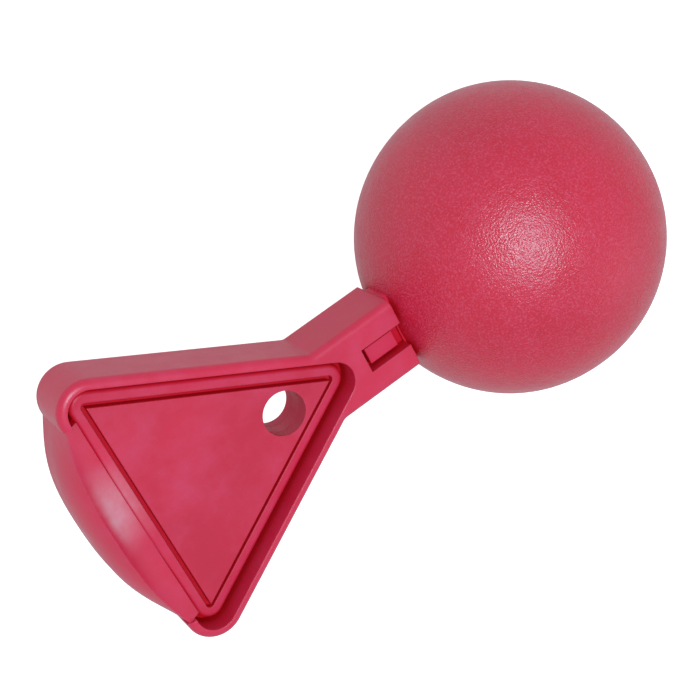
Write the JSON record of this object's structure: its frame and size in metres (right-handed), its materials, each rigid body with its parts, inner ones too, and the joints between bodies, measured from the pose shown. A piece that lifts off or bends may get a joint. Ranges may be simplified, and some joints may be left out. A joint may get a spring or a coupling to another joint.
{
  "type": "case opening friction ball",
  "caption": "Soft rubber friction ball on a flat triangular plastic grip with a hanging hole, pressed and turned by hand to open screw-down watch case backs.",
  "frame": {"origin": "centre of the hanging hole, on the grip's mid-plane", "axes": "+X from the grip to the ball along the neck, +Z out of the grip's front face along the hanging hole, +Y across the grip"},
  "size_m": [0.1068, 0.05, 0.05],
  "materials": {
    "grip_plastic": "satin moulded",
    "plate_plastic": "satin moulded",
    "stem_plastic": "satin moulded",
    "ball_rubber": "fine grained"
  },
  "bodies": {
    "grip": {"grip_body": "grip_plastic", "front_plate": "plate_plastic", "back_plate": "plate_plastic"},
    "ball": {"ball_stem": "stem_plastic", "friction_ball": "ball_rubber"}
  },
  "joints": [
    {"name": "ball_pull_out", "type": "slide", "parent": "grip", "child": "ball", "axis": [1, 0, 0], "range_m": [0, 0.014]}
  ]
}
